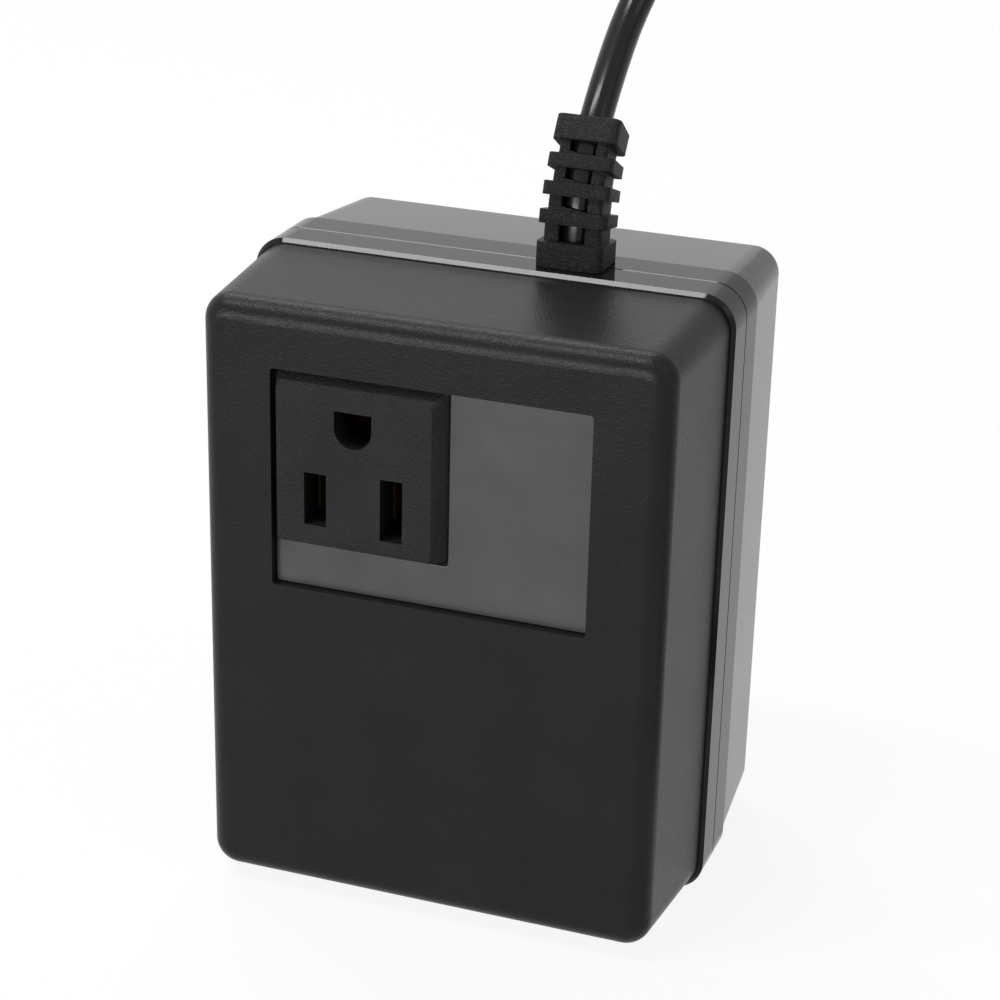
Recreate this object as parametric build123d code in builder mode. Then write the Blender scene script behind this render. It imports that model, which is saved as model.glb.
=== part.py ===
from build123d import *

# A travel voltage converter: a step-down transformer in a two-shell case with an outlet.
# The outlet faces -Y, the cord leaves the top, and the origin is on the surface that the case
# stands on, under the middle of the case. Every length is in millimetres.
import os
from math import cos, pi, radians, sin, tan

os.makedirs("parts", exist_ok=True)

# Clearances and overruns
slide_gap = 0.15
screw_gap = 0.05
overrun = 1.0

# Case
wall = 2.5
seam_offset = 0.9
corner_radius = 5.5
front_rim_band = 6.7
rear_rim_band = 6.6
front_rim_proud = 0.8
rear_rim_proud = 0.4
front_draft = 1.5
rear_draft = 1.8
front_edge_radius = 3.5
rear_edge_radius = 3.0
front_rim_chamfer = 0.6
rear_rim_chamfer = 0.3
seam_edge_chamfer = 0.2
tongue_width = 1.0
tongue_height = 1.6

# Recess of the front and the outlet in it
recess_side_margin = 0.5
recess_top_margin = 3.1
label_side_width = 26.1
label_low_height = 7.5
recess_depth = 2.0
recess_corner_radius = 0.6
recess_floor = 2.2
socket_side_wall = 3.35
socket_low_wall = 1.5
socket_high_wall = 1.9
socket_top_room = 15.5
socket_face_setback = 1.0
socket_depth = 16.0
socket_edge_radius = 0.6
socket_face_fillet = 0.3
socket_lip = 1.5
socket_lip_thickness = 2.0
socket_face_wall = 3.0
blade_pitch = 12.7
ground_rise = 11.9
slot_width = 3.7
hot_slot_height = 8.7
neutral_slot_height = 10.2
ground_hole_radius = 3.1
ground_hole_flat = 2.75
ground_hole_lift = 0.5
chamber_width = 6.2
chamber_margin = 1.0
ground_chamber_size = 7.4

# Contacts
strip_thickness = 0.6
strip_height = 6.0
blade_grip = 1.3
ground_grip = 4.6
contact_length = 11.0
ground_contact_length = 7.0
strip_bend_share = 0.6
mouth_flare_share = 2.0
contact_tail_length = 7.0
contact_tail_height = 4.0

# Socket cover and its screws
cover_thickness = 2.0
cover_ear_height = 9.0
cover_ear_reach = 3.6
cover_side_room = 5.9
socket_post_radius = 3.25
post_lip_gap = 0.35

# Label plate
label_thickness = 0.5
label_to_socket = 3.0
label_corner_radius = 0.5

# Screws
screw_radius = 1.45
screw_head_radius = 2.8
screw_head_height = 2.0
screw_clearance_radius = 1.8
socket_screw_length = 10.0
case_screw_length = 16.0
transformer_screw_grip = 9.0
drive_recess_radius = 1.2
drive_recess_depth = 1.1
drive_recess_width = 0.6
screw_head_chamfer = 0.6
case_post_radius = 3.6
case_screw_side = 7.7
case_screw_low = 12.4
case_screw_web = 6.0
counterbore_radius = 3.3
washer_radius = 3.8
washer_thickness = 0.6

# Transformer, cut from a 57 mm lamination
core_width = 57.0
core_stack = 30.0
core_bottom_z = 6.0
lead_room = 9.8
post_core_gap = 0.4
bobbin_wall = 1.0
bobbin_gap = 0.2
flange_margin = 0.55
flange_thickness = 1.4
winding_gap = 0.25
winding_corner_radius = 2.0
tape_thickness = 0.3
tag_width = 1.6
tag_thickness = 0.6
tag_rise = 7.0
tag_inset = 3.0
tag_first_x = 6.0
core_post_radius = 3.9

# Thermal fuse
fuse_radius = 1.7
fuse_length = 11.0
fuse_lead_radius = 0.4
fuse_room = 0.7

# Strain relief: walls beside the cord and walls in front of and behind it
relief_x = 12.1
relief_bend_radius = 32.6
relief_bend_start = 0.66
relief_bend_turn = 23.5
neck_side_wall = 2.2
neck_face_wall = 1.2
base_side_wall = 2.9
base_face_wall = 1.73
base_height = 3.63
base_gap = 2.5
rib_count = 3
rib_height = 1.97
rib_gap = 2.08
rib_side_wall = 3.03
cap_side_wall = 2.62
rib_face_wall = 0.94
cap_height = 3.63
relief_corner_radius = 1.6
low_post_side_wall = 2.15
high_post_side_wall = 1.4
post_face_wall = 0.35
post_corner_radius = 0.9
post_seat = 0.5
window_inset = 0.42
inner_flange_side = 1.7
inner_flange_height = 2.0

# Cord and its coil
cord_diameter = 5.2
core_wire_diameter = 2.0
turn_share = 0.45
coil_outer_radius = 32.0
coil_pitch = 6.6
coil_layer_step = 6.6
half_turns_in = 3
half_turns_out = 2
coil_last_turn = 30.0
coil_start_run = 5.4
coil_end_run = 23.0
coil_gap_allowed = 0.4
floor_gap = 0.02

# The cord's route past its strain relief: back, over to the side and down to the floor
cord_points = [
    (12.6, 29.8, 145.1),
    (28.6, 34.6, 168.4),
    (53.5, 34.4, 177.8),
    (77.8, 33.8, 167.0),
    (87.0, 33.0, 140.0),
    (88.4, 32.3, 108.0),
    (87.9, 32.5, 77.0),
    (88.0, 32.8, 48.0),
    (88.2, 32.3, 25.0),
    (95.9, 32.0, 10.9),
    (110.0, 32.0, 2.6),
    (126.4, 32.0, 2.6),
]

# Plug
plug_width = 35.3
plug_thickness = 13.7
plug_length = 34.0
plug_flat_share = 0.72
plug_taper_length = 13.0
plug_neck_width = 17.0
plug_neck_thickness = 11.0
plug_corner_radius = 2.4
plug_edge_radius = 0.8
plug_tail_length = 14.0
plug_tail_width = 10.2
plug_tail_end_width = 8.2
plug_tail_ribs = 4
plug_tail_groove = 1.6
plug_tail_groove_depth = 0.9
plug_cord_depth = 4.0
pin_spacing = 18.6
pin_tip_spacing = 17.5
pin_radius = 2.0
pin_core_radius = 1.3
pin_sleeve_radius = 1.65
pin_length = 19.0
pin_bare_length = 9.0
pin_tip_radius = 1.2
pin_anchor = 8.0
bridge_width = 26.0
bridge_height = 8.0
bridge_depth = 9.5
bridge_gap = 0.1

# Sizes and places worked out from the values above
leg_width = core_width / 6
window_height = 3 * leg_width
core_height = 5 * leg_width
winding_depth = leg_width - bobbin_gap - bobbin_wall - slide_gap - tape_thickness - winding_gap
wound_depth = slide_gap + winding_depth + tape_thickness
flange_overhang = bobbin_wall + wound_depth + flange_margin
fuse_y = core_stack / 2 + bobbin_gap + bobbin_wall + wound_depth + slide_gap + fuse_radius
rear_y = fuse_y + fuse_radius + fuse_room + wall
front_y = -rear_y
seam_y = seam_offset
rear_depth = rear_y - seam_y
socket_width = blade_pitch + chamber_width + 2 * socket_side_wall
blade_chamber_height = neutral_slot_height + 2 * chamber_margin
blades_rise = socket_low_wall + blade_chamber_height / 2
socket_height = (
    blades_rise + ground_rise + ground_hole_lift + ground_chamber_size / 2 + socket_high_wall
)
socket_low_z = core_bottom_z + core_height + lead_room
socket_z = socket_low_z + socket_height / 2
case_height = socket_low_z + socket_height + socket_top_room
case_screw_high = case_height - case_screw_low
case_middle_z = case_height / 2
recess_width = recess_side_margin + socket_width + label_side_width
recess_height = label_low_height + socket_height + recess_top_margin
recess_middle_z = socket_low_z - label_low_height + recess_height / 2
socket_x = -recess_width / 2 + recess_side_margin + socket_width / 2
socket_screw_offset = socket_width / 2 + socket_lip + post_lip_gap + socket_post_radius
# the case is as wide as the core with its posts asks for, or the outlet's cover
core_side = core_width / 2 + post_core_gap + case_post_radius + case_screw_side
cover_side = -socket_x + socket_screw_offset + cover_ear_reach + cover_side_room
case_width = 2 * max(core_side, cover_side)
case_screw_x = case_width / 2 - case_screw_side
front_step_y = seam_y - front_rim_band
rear_step_y = seam_y + rear_rim_band
front_inset = front_rim_proud + front_draft
rear_inset = rear_rim_proud + rear_draft
front_wall_y = front_y + wall
rear_wall_y = rear_y - wall
recess_floor_y = front_y + recess_depth
pad_back_y = recess_floor_y + recess_floor
socket_face_y = front_y + socket_face_setback
socket_back_y = socket_face_y + socket_depth
chamber_front_y = socket_face_y + socket_face_wall
blades_z = socket_low_z + blades_rise
hot_x = socket_x - blade_pitch / 2
neutral_x = socket_x + blade_pitch / 2
ground_z = blades_z + ground_rise
hole_z = ground_z + ground_hole_lift
cover_back_y = socket_back_y + cover_thickness
core_front_y = -core_stack / 2
core_rear_y = core_stack / 2
core_low_z = core_bottom_z + leg_width
core_high_z = core_low_z + window_height
core_top_z = core_high_z + leg_width
core_hole_x = core_width / 2 - leg_width / 2
neck_width = cord_diameter + 2 * neck_side_wall
neck_depth = cord_diameter + 2 * neck_face_wall


def depth_plane(y):
    """The plane across the case at depth y, seen from the front: X across and Z up."""
    return Plane.XZ.offset(-y)


def section(y, width, height, radius, x=0, z=case_middle_z):
    """A rounded rectangle across the case at depth y."""
    with BuildSketch(depth_plane(y)) as outline:
        with Locations((x, z)):
            RectangleRounded(width, height, radius)
    return outline.sketch


def case_section(y, inset):
    """The case's outline at depth y, drawn in from the rim by an inset."""
    return section(y, case_width - 2 * inset, case_height - 2 * inset, corner_radius - inset / 2)


def disc(y, radius, places):
    """One circle at depth y for each place."""
    with BuildSketch(depth_plane(y)) as circles:
        with Locations(*places):
            Circle(radius)
    return circles.sketch


def along_y(sketch, length, mode=Mode.ADD):
    """Extrude a sketch towards the rear by a length, or towards the front where it is negative."""
    return extrude(sketch, amount=-length, mode=mode)


def finish(part, label):
    """Name a finished piece and write it."""
    part.label = label
    export_step(part, f"parts/{label}.step")


def screws(head_y, length, places, toward=1):
    """Pan-head screws with a cross recess, their heads seated at one depth."""
    with BuildPart() as group:
        along_y(disc(head_y, screw_radius, places), toward * length)
        along_y(disc(head_y, screw_head_radius, places), -toward * screw_head_height)
        top_y = head_y - toward * screw_head_height
        top = group.faces().filter_by(Axis.Y).group_by(Axis.Y)[0 if toward > 0 else -1]
        chamfer(top.edges(), screw_head_chamfer)
        with BuildSketch(depth_plane(top_y)) as cross:
            with Locations(*places):
                for turn in (0, 90):
                    Rectangle(2 * drive_recess_radius, drive_recess_width, rotation=turn)
        along_y(cross.sketch, toward * drive_recess_depth, mode=Mode.SUBTRACT)
    return group.part


case_screw_places = [
    (side * case_screw_x, height)
    for side in (-1, 1)
    for height in (case_screw_low, case_screw_high)
]
core_screw_places = [
    (side * core_hole_x, height)
    for side in (-1, 1)
    for height in (core_bottom_z + leg_width / 2, core_top_z - leg_width / 2)
]
socket_screw_places = [(socket_x + side * socket_screw_offset, socket_z) for side in (-1, 1)]

# Front shell: drafted box, proud rim band, recess with the outlet's opening, posts for the screws
pilot_radius = screw_radius + screw_gap
rim_wall = wall + front_rim_proud
tongue_inset = rim_wall - tongue_width - slide_gap

with BuildPart() as front_shell:
    loft([case_section(front_y, front_inset), case_section(front_step_y, front_rim_proud)], ruled=True)
    fillet(front_shell.faces().sort_by(Axis.Y)[0].edges(), front_edge_radius)
    along_y(case_section(front_step_y, 0), front_rim_band)
    rim_corner = front_shell.faces().filter_by(Axis.Y).group_by(Axis.Y)[-2]
    chamfer(rim_corner.sort_by(SortBy.AREA)[-1].outer_wire().edges(), front_rim_chamfer)
    front_seam = front_shell.faces().filter_by(Axis.Y).sort_by(Axis.Y)[-1]
    chamfer(front_seam.outer_wire().edges(), seam_edge_chamfer)
    loft(
        [
            case_section(front_wall_y, front_inset + wall),
            case_section(front_step_y, rim_wall),
        ],
        ruled=True,
        mode=Mode.SUBTRACT,
    )
    along_y(case_section(front_step_y, rim_wall), front_rim_band, mode=Mode.SUBTRACT)
    # tongue that enters the rear shell's groove
    along_y(case_section(seam_y, tongue_inset), tongue_height)
    along_y(case_section(seam_y, rim_wall), tongue_height, mode=Mode.SUBTRACT)
    # pad behind the recess, then the recess and the outlet's opening
    pad_size = (recess_width + 2 * wall, recess_height + 2 * wall)
    along_y(
        section(front_wall_y, *pad_size, recess_corner_radius, z=recess_middle_z),
        pad_back_y - front_wall_y,
    )
    along_y(
        section(front_y, recess_width, recess_height, recess_corner_radius, z=recess_middle_z),
        recess_depth,
        mode=Mode.SUBTRACT,
    )
    opening = (socket_width + 2 * slide_gap, socket_height + 2 * slide_gap)
    along_y(
        section(front_y, *opening, socket_edge_radius, socket_x, socket_z),
        pad_back_y - front_y + overrun,
        mode=Mode.SUBTRACT,
    )
    # posts, each with its pilot hole
    along_y(disc(front_wall_y, case_post_radius, case_screw_places), seam_y - front_wall_y)
    along_y(
        disc(front_wall_y, socket_post_radius, socket_screw_places), socket_back_y - front_wall_y
    )
    along_y(
        disc(seam_y, pilot_radius, case_screw_places),
        case_screw_web - case_screw_length - overrun,
        mode=Mode.SUBTRACT,
    )
    along_y(
        disc(socket_back_y, pilot_radius, socket_screw_places),
        cover_thickness - socket_screw_length - overrun,
        mode=Mode.SUBTRACT,
    )
    # the front half of the strain relief's notch
    notch_width = neck_width + 2 * slide_gap
    notch_depth = neck_depth / 2 + slide_gap
    with BuildSketch(Plane.XY.offset(case_height + overrun)):
        with Locations((relief_x, seam_y)):
            Rectangle(notch_width, notch_depth, align=(Align.CENTER, Align.MAX))
            Rectangle(notch_width, tongue_height + overrun, align=(Align.CENTER, Align.MIN))
    extrude(amount=-rim_wall - 2 * overrun, mode=Mode.SUBTRACT)
finish(front_shell.part, "front_shell")

# Rear shell: the other half, with the groove, the deep screw holes and the transformer's posts
with BuildPart() as rear_shell:
    loft([case_section(rear_y, rear_inset), case_section(rear_step_y, rear_rim_proud)], ruled=True)
    fillet(rear_shell.faces().sort_by(Axis.Y)[-1].edges(), rear_edge_radius)
    along_y(case_section(seam_y, 0), rear_rim_band)
    rear_rim_corner = rear_shell.faces().filter_by(Axis.Y).group_by(Axis.Y)[1]
    chamfer(rear_rim_corner.sort_by(SortBy.AREA)[-1].outer_wire().edges(), rear_rim_chamfer)
    rear_seam = rear_shell.faces().filter_by(Axis.Y).sort_by(Axis.Y)[0]
    chamfer(rear_seam.outer_wire().edges(), seam_edge_chamfer)
    loft(
        [
            case_section(rear_wall_y, rear_inset + wall),
            case_section(rear_step_y, rim_wall),
        ],
        ruled=True,
        mode=Mode.SUBTRACT,
    )
    along_y(case_section(seam_y, rim_wall), rear_rim_band, mode=Mode.SUBTRACT)
    along_y(
        case_section(seam_y, tongue_inset - slide_gap),
        tongue_height + slide_gap,
        mode=Mode.SUBTRACT,
    )
    along_y(disc(rear_wall_y, case_post_radius, case_screw_places), seam_y - rear_wall_y)
    along_y(disc(rear_wall_y, core_post_radius, core_screw_places), core_rear_y - rear_wall_y)
    along_y(
        disc(seam_y, screw_clearance_radius, case_screw_places),
        rear_depth + overrun,
        mode=Mode.SUBTRACT,
    )
    along_y(
        disc(seam_y + case_screw_web, counterbore_radius, case_screw_places),
        rear_depth,
        mode=Mode.SUBTRACT,
    )
    along_y(
        disc(core_rear_y, pilot_radius, core_screw_places),
        transformer_screw_grip + overrun,
        mode=Mode.SUBTRACT,
    )
    with BuildSketch(Plane.XY.offset(case_height + overrun)):
        with Locations((relief_x, seam_y)):
            Rectangle(notch_width, notch_depth, align=(Align.CENTER, Align.MIN))
    extrude(amount=-rim_wall - 2 * overrun, mode=Mode.SUBTRACT)
finish(rear_shell.part, "rear_shell")

# Label plate: an L that goes round two sides of the outlet
label_x = socket_x + socket_width / 2 + label_to_socket
label_z = socket_low_z - slide_gap
with BuildPart() as label_plate:
    with BuildSketch(depth_plane(recess_floor_y)) as label_outline:
        with Locations((0, recess_middle_z)):
            Rectangle(recess_width - 2 * slide_gap, recess_height - 2 * slide_gap)
        with Locations((label_x, label_z)):
            Rectangle(recess_width, recess_height, align=(Align.MAX, Align.MIN), mode=Mode.SUBTRACT)
        fillet(label_outline.vertices(), label_corner_radius)
    along_y(label_outline.sketch, -label_thickness)
finish(label_plate.part, "label_plate")

# Socket body: a square block with two slots and a ground hole, each with its contact chamber
with BuildSketch(depth_plane(socket_face_y)) as holes:
    with Locations((hot_x, blades_z)):
        Rectangle(slot_width, hot_slot_height)
    with Locations((neutral_x, blades_z)):
        Rectangle(slot_width, neutral_slot_height)
    with BuildLine():
        hole_left = (socket_x - ground_hole_radius, hole_z)
        hole_right = (socket_x + ground_hole_radius, hole_z)
        ThreePointArc(hole_right, (socket_x, hole_z - ground_hole_radius), hole_left)
        Polyline(
            hole_left,
            (hole_left[0], hole_z + ground_hole_flat),
            (hole_right[0], hole_z + ground_hole_flat),
            hole_right,
        )
    make_face()

with BuildPart() as socket_body:
    along_y(
        section(
            socket_face_y, socket_width, socket_height, socket_edge_radius, socket_x, socket_z
        ),
        socket_depth,
    )
    fillet(socket_body.faces().sort_by(Axis.Y)[0].edges(), socket_face_fillet)
    lip_size = (socket_width + 2 * socket_lip, socket_height + 2 * socket_lip)
    along_y(
        section(pad_back_y, *lip_size, socket_edge_radius, socket_x, socket_z),
        socket_lip_thickness,
    )
    along_y(holes.sketch, socket_face_wall + overrun, mode=Mode.SUBTRACT)
    with BuildSketch(depth_plane(chamber_front_y)) as chambers:
        with Locations((hot_x, blades_z), (neutral_x, blades_z)):
            Rectangle(chamber_width, blade_chamber_height)
        with Locations((socket_x, hole_z)):
            Rectangle(ground_chamber_size, ground_chamber_size)
    along_y(chambers.sketch, socket_depth, mode=Mode.SUBTRACT)
finish(socket_body.part, "socket_body")

# Socket cover: closes the chambers, with an ear and a screw on each side and slots for the tails
tail_places = [(hot_x, blades_z), (neutral_x, blades_z), (socket_x, ground_z)]
with BuildPart() as socket_cover:
    with BuildSketch(depth_plane(socket_back_y)) as cover_outline:
        with Locations((socket_x, socket_z)):
            Rectangle(socket_width, socket_height)
            Rectangle(2 * (socket_screw_offset + cover_ear_reach), cover_ear_height)
        fillet(cover_outline.vertices(), socket_edge_radius)
        with Locations(*tail_places):
            Rectangle(
                strip_thickness + 2 * slide_gap,
                contact_tail_height + 2 * slide_gap,
                mode=Mode.SUBTRACT,
            )
        with Locations(*socket_screw_places):
            Circle(screw_clearance_radius, mode=Mode.SUBTRACT)
    along_y(cover_outline.sketch, cover_thickness)
finish(socket_cover.part, "socket_cover")


def contact(x, z, grip, length):
    """A folded spring strip: two leaves with flared mouths, a back and a solder tail."""
    back_y = socket_back_y - slide_gap - strip_thickness / 2
    half = grip / 2 + strip_thickness / 2
    flare = strip_thickness * mouth_flare_share
    height = min(strip_height, blade_chamber_height)
    with BuildPart() as strip:
        with BuildSketch(Plane.XY.offset(z - height / 2)):
            with BuildLine():
                FilletPolyline(
                    (x - half - strip_thickness / 2, back_y - length),
                    (x - half, back_y - length + flare),
                    (x - half, back_y),
                    (x + half, back_y),
                    (x + half, back_y - length + flare),
                    (x + half + strip_thickness / 2, back_y - length),
                    radius=strip_thickness * strip_bend_share,
                )
            trace(line_width=strip_thickness)
        extrude(amount=height)
        with BuildSketch(depth_plane(back_y)):
            with Locations((x, z)):
                Rectangle(strip_thickness, contact_tail_height)
        extrude(amount=-contact_tail_length)
    return strip.part


finish(contact(hot_x, blades_z, blade_grip, contact_length), "hot_contact")
finish(contact(neutral_x, blades_z, blade_grip, contact_length), "neutral_contact")
finish(contact(socket_x, ground_z, ground_grip, ground_contact_length), "ground_contact")
finish(screws(cover_back_y, socket_screw_length, socket_screw_places, toward=-1), "socket_screws")

# Core: an E and an I stack of laminations with a screw hole in each corner
with BuildPart() as core_e:
    with BuildSketch(depth_plane(core_front_y)) as e_outline:
        with Locations((0, core_bottom_z)):
            Rectangle(
                core_width, leg_width + window_height, align=(Align.CENTER, Align.MIN)
            )
        with Locations((-1.5 * leg_width, core_low_z), (1.5 * leg_width, core_low_z)):
            Rectangle(
                leg_width, window_height, align=(Align.CENTER, Align.MIN), mode=Mode.SUBTRACT
            )
        with Locations(*[p for p in core_screw_places if p[1] < core_low_z]):
            Circle(screw_clearance_radius, mode=Mode.SUBTRACT)
    along_y(e_outline.sketch, core_stack)
finish(core_e.part, "core_e_laminations")

with BuildPart() as core_i:
    with BuildSketch(depth_plane(core_front_y)) as i_outline:
        with Locations((0, core_high_z)):
            Rectangle(core_width, leg_width, align=(Align.CENTER, Align.MIN))
        with Locations(*[p for p in core_screw_places if p[1] > core_high_z]):
            Circle(screw_clearance_radius, mode=Mode.SUBTRACT)
    along_y(i_outline.sketch, core_stack)
finish(core_i.part, "core_i_laminations")

finish(
    screws(
        core_front_y - washer_thickness,
        core_stack + washer_thickness + transformer_screw_grip,
        core_screw_places,
    ),
    "transformer_screws",
)
with BuildPart() as washers:
    with BuildSketch(depth_plane(core_front_y)) as washer_rings:
        with Locations(*core_screw_places):
            Circle(washer_radius)
            Circle(screw_clearance_radius, mode=Mode.SUBTRACT)
    along_y(washer_rings.sketch, -washer_thickness)
finish(washers.part, "transformer_washers")

# Bobbin round the middle leg: a tube with three flanges, the top one carrying the tags
leg_x = 2 * leg_width
tube_x = leg_x + 2 * bobbin_gap
tube_y = core_stack + 2 * bobbin_gap
tube_out_x = tube_x + 2 * bobbin_wall
tube_out_y = tube_y + 2 * bobbin_wall
flange_x = tube_x + 2 * (leg_width - 2 * bobbin_gap)
flange_y = tube_y + 2 * flange_overhang
bobbin_low_z = core_low_z + bobbin_gap
bobbin_high_z = core_high_z - bobbin_gap
room_height = (bobbin_high_z - bobbin_low_z - 3 * flange_thickness) / 2
flange_levels = [
    bobbin_low_z,
    bobbin_low_z + flange_thickness + room_height,
    bobbin_high_z - flange_thickness,
]
tag_y = flange_y / 2 - tag_inset
tag_places = [
    (side * tag_first_x, front * tag_y) for front in (-1, 1) for side in (-1, 1)
]
with BuildPart() as bobbin:
    with BuildSketch(Plane.XY.offset(bobbin_low_z)):
        RectangleRounded(tube_out_x, tube_out_y, bobbin_wall)
    extrude(amount=bobbin_high_z - bobbin_low_z)
    for level in flange_levels:
        with BuildSketch(Plane.XY.offset(level)):
            RectangleRounded(flange_x, flange_y, winding_corner_radius)
        extrude(amount=flange_thickness)
    with BuildSketch(Plane.XY.offset(bobbin_low_z)):
        Rectangle(tube_x, tube_y)
    extrude(amount=bobbin_high_z - bobbin_low_z, mode=Mode.SUBTRACT)
    with BuildSketch(Plane.XY.offset(flange_levels[-1])):
        with Locations(*tag_places):
            Rectangle(tag_width, tag_thickness)
    extrude(amount=flange_thickness, mode=Mode.SUBTRACT)
finish(bobbin.part, "bobbin")

with BuildPart() as tags:
    with BuildSketch(Plane.XY.offset(flange_levels[-1])):
        with Locations(*tag_places):
            Rectangle(tag_width, tag_thickness)
    extrude(amount=flange_thickness + tag_rise)
finish(tags.part, "bobbin_tags")


def winding_ring(level, inner_x, inner_y, thickness, height):
    """A rounded rectangular ring round the middle leg."""
    with BuildPart() as ring:
        with BuildSketch(Plane.XY.offset(level)):
            RectangleRounded(inner_x + 2 * thickness, inner_y + 2 * thickness, winding_corner_radius)
            RectangleRounded(inner_x, inner_y, bobbin_wall + slide_gap, mode=Mode.SUBTRACT)
        extrude(amount=height)
    return ring.part


wound_x = tube_out_x + 2 * slide_gap
wound_y = tube_out_y + 2 * slide_gap
winding_height = room_height - 2 * slide_gap
primary_z = flange_levels[0] + flange_thickness + slide_gap
secondary_z = flange_levels[1] + flange_thickness + slide_gap
for level, winding in ((primary_z, "primary_winding"), (secondary_z, "secondary_winding")):
    ring = winding_ring(level, wound_x, wound_y, winding_depth - slide_gap, winding_height)
    finish(ring, winding)
taped_x = wound_x + 2 * winding_depth
taped_y = wound_y + 2 * winding_depth
with BuildPart() as tape:
    for level in (primary_z, secondary_z):
        with BuildSketch(Plane.XY.offset(level)):
            RectangleRounded(
                taped_x + 2 * tape_thickness, taped_y + 2 * tape_thickness, winding_corner_radius
            )
            RectangleRounded(taped_x, taped_y, winding_corner_radius, mode=Mode.SUBTRACT)
        extrude(amount=winding_height)
finish(tape.part, "winding_tape")

# Cord: one tube from inside the case to the coil, each bend as large as its runs allow


def bend_radii(points):
    """The largest tangent arc at each corner that leaves a straight piece of each run."""
    places = [Vector(*point) for point in points]
    runs = [b - a for a, b in zip(places, places[1:])]
    radii = []
    for before, after in zip(runs, runs[1:]):
        half_turn = radians(before.get_angle(after)) / 2
        radii.append(turn_share * min(before.length, after.length) / tan(half_turn))
    return radii


def tube(points, diameter):
    """A round tube along straight runs joined by tangent arcs."""
    with BuildPart() as swept:
        with BuildLine() as path:
            FilletPolyline(*points, radius=bend_radii(points))
        with BuildSketch(Plane(origin=path.line @ 0, z_dir=path.line % 0)):
            Circle(diameter / 2)
        sweep()
    return swept.part, path.wires()[0]


# the first bend is the strain relief's own: two corners round its radius
bend_tangent = relief_bend_radius * tan(radians(relief_bend_turn) / 2)
bend_run = bend_tangent / turn_share
bend_z = case_height + relief_bend_start + bend_tangent
bend_rise = bend_run * cos(radians(relief_bend_turn))
cord_route = [
    (relief_x, seam_y, bend_z - bend_run),
    (relief_x, seam_y, bend_z),
    (relief_x, seam_y + bend_run * sin(radians(relief_bend_turn)), bend_z + bend_rise),
    *cord_points,
]
cord, cord_path = tube(cord_route, cord_diameter)
finish(cord, "cord")
section_area = pi * cord_diameter**2 / 4
print("cord route starts", [tuple(round(value, 2) for value in point) for point in cord_route[:3]])
print("cord radii", [round(radius, 1) for radius in bend_radii(cord_route)])
print("cord volume", round(cord.volume), "section x length", round(section_area * cord_path.length))

# Coil: two layers that spiral in and out again, on half-turn arcs
coil_radii = [coil_outer_radius - coil_pitch * (k + 0.5) / 2 for k in range(half_turns_in)]
climb_radius = coil_outer_radius - coil_pitch * half_turns_in / 2
with BuildLine() as coil_path:
    start = Vector(*cord_route[-1])
    place = start + Vector(coil_start_run, 0, 0)
    Line(start, place)
    heading = Vector(1, 0, 0)
    steps = [(radius, 0) for radius in coil_radii]
    steps += [(climb_radius, coil_layer_step)]
    steps += [(radius, 0) for radius in coil_radii[::-1][:half_turns_out]]
    for radius, climb in steps:
        side = Vector(heading.Y, -heading.X, 0)
        after = place + side * (2 * radius) + Vector(0, 0, climb)
        middle = (place + after) / 2
        reach = (after - place).length / 2
        ThreePointArc(place, middle + heading * reach, after)
        place = after
        heading = heading * -1
    turn = radians(coil_last_turn)
    last_radius = coil_radii[0]
    side = Vector(heading.Y, -heading.X, 0)
    chord = heading * (last_radius * sin(turn)) + side * (last_radius * (1 - cos(turn)))
    # the drop that brings the plug's front edge down to the floor
    beyond = coil_end_run + plug_tail_length + plug_length
    height = place.Z - plug_thickness / 2 - floor_gap
    drop = height / (1 + beyond * 2 * cos(turn / 2) / chord.length)
    last_arc = TangentArc(place, place + chord - Vector(0, 0, drop), tangent=heading)
    way_out = last_arc % 1
    Line(last_arc @ 1, last_arc @ 1 + way_out * coil_end_run)
coil_wire = coil_path.wires()[0]
with BuildPart() as cord_coil:
    with BuildSketch(Plane(origin=start, z_dir=(1, 0, 0))):
        Circle(cord_diameter / 2)
    sweep(path=coil_wire)
finish(cord_coil.part, "cord_coil")
coil_length = coil_wire.length
gap_steps = 700
coil_points = [coil_wire @ (k / gap_steps) for k in range(gap_steps + 1)]
apart = int(gap_steps * pi * climb_radius / coil_length)
coil_gap = min(
    (a - b).length for k, a in enumerate(coil_points) for b in coil_points[k + apart :]
) - cord_diameter
print("coil gap", round(coil_gap, 2), "wanted over", coil_gap_allowed)
print("coil volume", round(cord_coil.part.volume), "section x length", round(section_area * coil_length))
print("cord length", round(cord_path.length + coil_length), "coil alone", round(coil_length))

# Strain relief: a neck in the shells' notch, then a base, ribs and a cap that follow the cord's
# bend backwards, joined by posts with a window through them from front to back
with BuildLine() as relief_line:
    FilletPolyline(*cord_route[:4], radius=bend_radii(cord_route)[:2])
relief_path = relief_line.wires()[0]


def relief_plane(height):
    """The plane across the cord at a height along it from the case's top."""
    along = case_height + height - cord_route[0][2]
    return Plane(
        origin=relief_path.position_at(along, position_mode=PositionMode.LENGTH),
        x_dir=(1, 0, 0),
        z_dir=relief_path.tangent_at(along, position_mode=PositionMode.LENGTH),
    )


def slab(low, height, side_wall):
    """A rib or the cap, square to the cord at its own middle."""
    with BuildSketch(relief_plane(low + height / 2)) as outline:
        RectangleRounded(
            cord_diameter + 2 * side_wall, cord_diameter + 2 * rib_face_wall, relief_corner_radius
        )
    return extrude(outline.sketch, amount=height / 2, both=True)


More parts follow.
